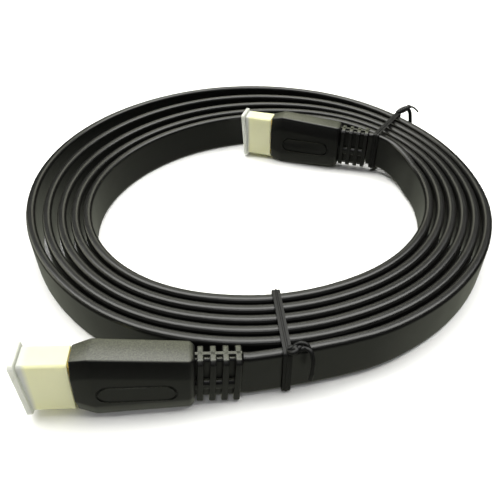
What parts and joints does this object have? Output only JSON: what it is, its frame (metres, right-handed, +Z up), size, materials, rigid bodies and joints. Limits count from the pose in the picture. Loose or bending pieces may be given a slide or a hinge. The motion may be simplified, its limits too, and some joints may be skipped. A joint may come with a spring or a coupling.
{
  "type": "hdmi cable",
  "caption": "Flat ribbon video cable wound on edge into a spiral coil, held by two twist ties, with a ribbed, bevelled plug under a dust cap on each end.",
  "frame": {"origin": "under the middle of the wound cable, on the surface that it lies on", "axes": "+Z up out of the coil, +X from the outer plug's capped end towards its cable, +Y from the outer plug towards the inner plug"},
  "size_m": [0.1542, 0.1702, 0.0196],
  "materials": {
    "jacket": "satin",
    "moulding": "satin",
    "gold_shell": "polished",
    "carrier": "matt",
    "milky_cap": "milky, see-through enough to show the gold",
    "tie": "satin"
  },
  "bodies": {
    "cable": {"flat_cable": "jacket", "outer_plug_body": "moulding", "outer_plug_shell": "gold_shell", "outer_plug_insert": "carrier", "inner_plug_body": "moulding", "inner_plug_shell": "gold_shell", "inner_plug_insert": "carrier", "front_tie": "tie", "back_tie": "tie"},
    "outer_cap": {"outer_dust_cap": "milky_cap"},
    "inner_cap": {"inner_dust_cap": "milky_cap"}
  },
  "joints": [
    {"name": "outer_cap_slide", "type": "slide", "parent": "cable", "child": "outer_cap", "axis": [-0.9939, -0.087, 0.068], "range_m": [0, 0.012]},
    {"name": "inner_cap_slide", "type": "slide", "parent": "cable", "child": "inner_cap", "axis": [-0.9563, 0.2924, 0], "range_m": [0, 0.005]}
  ]
}
